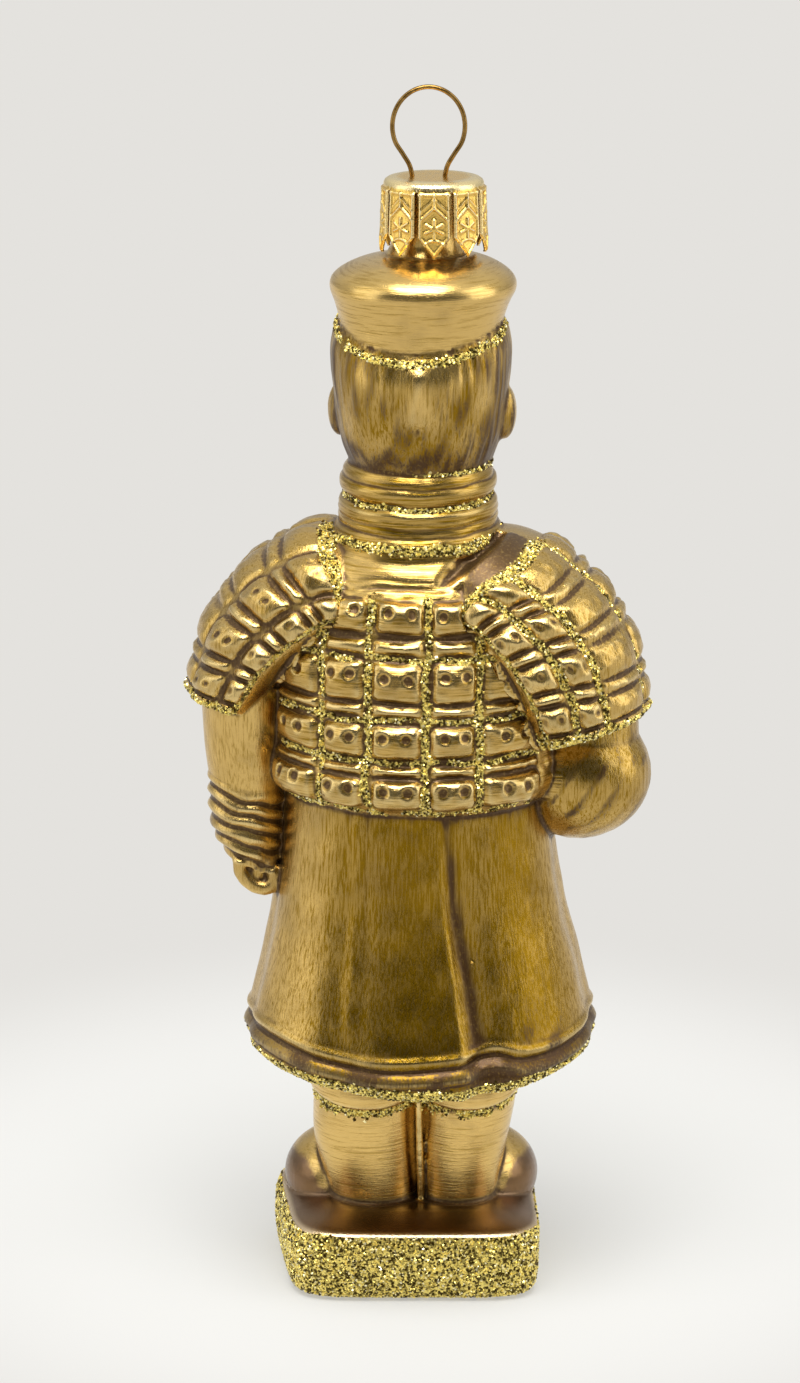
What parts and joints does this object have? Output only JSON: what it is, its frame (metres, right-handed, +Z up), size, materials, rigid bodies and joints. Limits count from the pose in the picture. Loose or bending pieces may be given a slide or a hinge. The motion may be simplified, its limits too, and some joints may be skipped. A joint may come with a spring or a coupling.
{
  "type": "glass warrior ornament",
  "caption": "Hollow blown-glass hanging ornament in the form of a standing armoured warrior on a block, with a stamped metal cap and a wire hanging loop.",
  "frame": {"origin": "middle of the flat underside of the block that the figure stands on", "axes": "+Z up through the figure to the hanging loop, -Y the way the figure faces, +X the figure's left"},
  "size_m": [0.0597, 0.0427, 0.1563],
  "materials": {
    "lacquered_glass": "thin blown glass under satin antique-gold lacquer with a brown patina in the hollows and lines of gold glitter",
    "cap_metal": "stamped thin sheet metal with a bright gold finish",
    "spring_wire": "drawn spring wire with a darkened brass finish"
  },
  "bodies": {
    "root": {"glass_warrior": "lacquered_glass", "crown_cap": "cap_metal", "wire_hanger": "spring_wire"}
  },
  "joints": []
}
